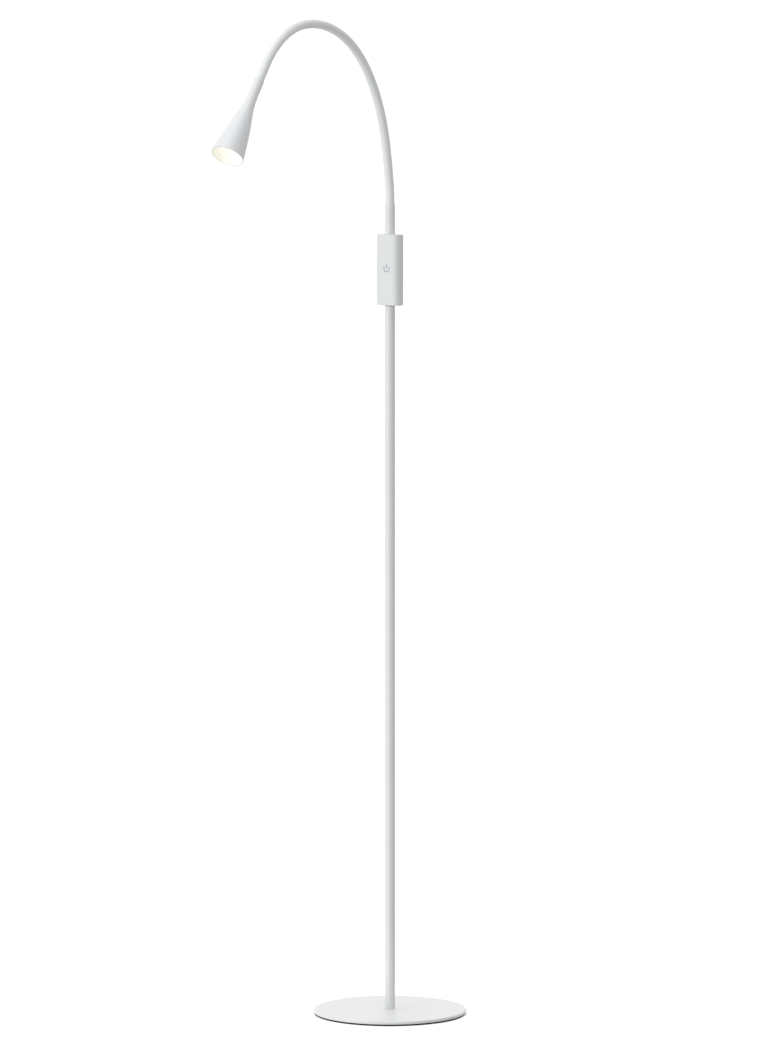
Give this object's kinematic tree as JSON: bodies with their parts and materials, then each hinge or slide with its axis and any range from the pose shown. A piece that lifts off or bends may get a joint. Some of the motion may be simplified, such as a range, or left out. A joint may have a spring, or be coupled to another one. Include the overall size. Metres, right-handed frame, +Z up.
{
  "type": "gooseneck reading floor lamp",
  "caption": "Floor lamp with a round weighted foot, a thin straight pole, a push switch box and a bendable gooseneck that ends in a small trumpet shade.",
  "frame": {"origin": "middle of the foot's underside, on the floor", "axes": "+Z up along the pole, -Y the front, which the switch faces and the arm bends over, +X to the right of someone who stands in front and looks at the lamp"},
  "size_m": [0.18, 0.4477, 1.1825],
  "materials": {
    "white_steel": "white powder coat, satin",
    "white_housing": "white moulded plastic, satin",
    "white_shade": "white, satin",
    "white_sleeve": "white flexible sleeve, matte",
    "white_rubber": "white soft plastic",
    "black_pad": "black, matte",
    "steel": "zinc plated",
    "lead_jacket": "white insulation",
    "black_plastic": "black",
    "circuit_board": "green laminate",
    "terminal_plastic": "green moulded plastic",
    "aluminium": "bare",
    "led_board": "white solder mask on aluminium",
    "led_chip": "yellow phosphor",
    "diffuser": "frosted, lit from behind"
  },
  "bodies": {
    "stand": {"foot_plate": "white_steel", "foot_pad": "black_pad", "foot_screw": "steel", "foot_plug": "steel", "pole_tube": "white_steel", "cord_bushing": "white_rubber", "pole_joiner": "steel", "tail_tube": "white_steel", "tail_nut": "steel", "supply_lead": "lead_jacket", "housing_body": "white_housing", "housing_base_cap": "white_housing", "push_switch": "black_plastic", "circuit_board": "circuit_board", "driver_choke": "black_plastic", "supply_terminal": "terminal_plastic", "arm_terminal": "terminal_plastic", "arm_lead": "lead_jacket", "ferrule_nut": "steel", "arm_ferrule": "white_steel", "root_nut": "steel", "gooseneck_link_0": "white_sleeve"},
    "switch_button": {"push_plate": "white_housing", "switch_plunger": "black_plastic"},
    "arm_1": {"gooseneck_link_1": "white_sleeve"},
    "arm_2": {"gooseneck_link_2": "white_sleeve"},
    "arm_3": {"gooseneck_link_3": "white_sleeve"},
    "arm_4": {"gooseneck_link_4": "white_sleeve"},
    "arm_5": {"gooseneck_link_5": "white_sleeve"},
    "arm_6": {"gooseneck_link_6": "white_sleeve"},
    "arm_7": {"gooseneck_link_7": "white_sleeve"},
    "arm_8": {"gooseneck_link_8": "white_sleeve"},
    "head": {"shade": "white_shade", "head_nut": "steel", "head_lead": "lead_jacket", "heat_sink": "aluminium", "led_board": "led_board", "led_chip": "led_chip", "diffuser": "diffuser", "gooseneck_link_9": "white_sleeve"}
  },
  "joints": [
    {"name": "arm_sway_0", "type": "hinge", "parent": "stand", "child": "arm_1", "pos_m": [0, -0.00128, 0.98206], "axis": [0, 0.9925, 0.1219], "range_deg": [-20, 20]},
    {"name": "arm_nod_1", "type": "hinge", "parent": "arm_1", "child": "arm_2", "pos_m": [0, -0.00935, 1.03029], "axis": [1, 0, 0], "range_deg": [-20.5, 14]},
    {"name": "arm_nod_2", "type": "hinge", "parent": "arm_2", "child": "arm_3", "pos_m": [0, -0.02464, 1.07666], "axis": [1, 0, 0], "range_deg": [-20.5, 14]},
    {"name": "arm_nod_3", "type": "hinge", "parent": "arm_3", "child": "arm_4", "pos_m": [0, -0.05015, 1.11828], "axis": [1, 0, 0], "range_deg": [-20.5, 14]},
    {"name": "arm_nod_4", "type": "hinge", "parent": "arm_4", "child": "arm_5", "pos_m": [0, -0.08609, 1.15121], "axis": [1, 0, 0], "range_deg": [-20.5, 14]},
    {"name": "arm_nod_5", "type": "hinge", "parent": "arm_5", "child": "arm_6", "pos_m": [0, -0.13045, 1.17143], "axis": [1, 0, 0], "range_deg": [-20.5, 14]},
    {"name": "arm_nod_6", "type": "hinge", "parent": "arm_6", "child": "arm_7", "pos_m": [0, -0.17887, 1.17716], "axis": [1, 0, 0], "range_deg": [-20.5, 14]},
    {"name": "arm_sway_7", "type": "hinge", "parent": "arm_7", "child": "arm_8", "pos_m": [0, -0.22588, 1.165], "axis": [0, -0.454, 0.891], "range_deg": [-20, 20]},
    {"name": "arm_nod_8", "type": "hinge", "parent": "arm_8", "child": "head", "pos_m": [0, -0.26349, 1.13427], "axis": [1, 0, 0], "range_deg": [-20.5, 14]},
    {"name": "switch_press", "type": "slide", "parent": "stand", "child": "switch_button", "axis": [0, 1, 0], "range_m": [0, 0.0008], "stiffness_N_per_m": 800, "springref_m": -0.001}
  ]
}
